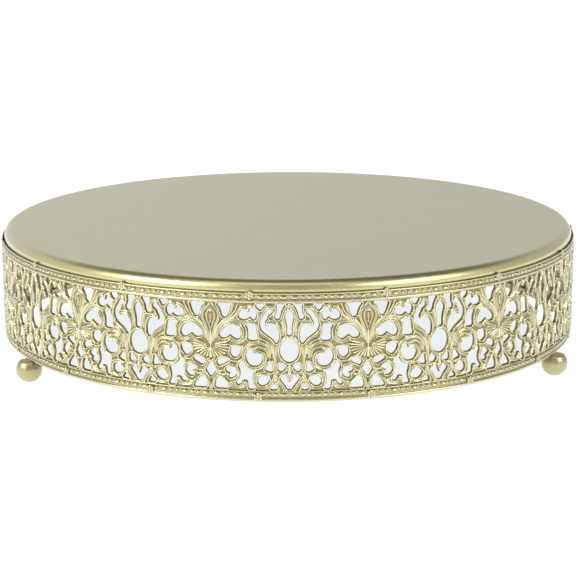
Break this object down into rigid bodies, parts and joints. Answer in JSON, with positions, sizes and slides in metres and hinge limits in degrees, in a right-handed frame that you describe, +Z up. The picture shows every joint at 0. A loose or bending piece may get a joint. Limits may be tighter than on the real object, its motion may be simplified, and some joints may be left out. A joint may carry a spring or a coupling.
{
  "type": "cake stand",
  "caption": "Round cake stand: a flat pressed tray with a rounded shoulder, set in a pierced scroll-and-fleur metal band with beaded borders, standing low on ball feet.",
  "frame": {"origin": "on the floor under the centre of the tray, in the plane that the three ball feet stand on", "axes": "+Z up, the tray's axis; -Y to the front, where one tulip of the lace is centred; +X to the right seen from the front"},
  "size_m": [0.3, 0.3063, 0.0672],
  "materials": {
    "tray_metal": "satin champagne-gold metallic lacquer",
    "border_metal": "champagne-gold metallic, darker in the channels",
    "lace_metal": "champagne-gold metallic, darker in the recesses",
    "foot_metal": "satin champagne-gold metallic"
  },
  "bodies": {
    "root": {"tray": "tray_metal", "upper_border": "border_metal", "lower_border": "border_metal", "filigree_panel_01": "lace_metal", "filigree_panel_02": "lace_metal", "filigree_panel_03": "lace_metal", "filigree_panel_04": "lace_metal", "filigree_panel_05": "lace_metal", "filigree_panel_06": "lace_metal", "filigree_panel_07": "lace_metal", "filigree_panel_08": "lace_metal", "filigree_panel_09": "lace_metal", "filigree_panel_10": "lace_metal", "filigree_panel_11": "lace_metal", "filigree_panel_12": "lace_metal", "filigree_panel_13": "lace_metal", "base_hoop": "lace_metal", "ball_foot_1": "foot_metal", "ball_foot_2": "foot_metal", "ball_foot_3": "foot_metal"}
  },
  "joints": []
}
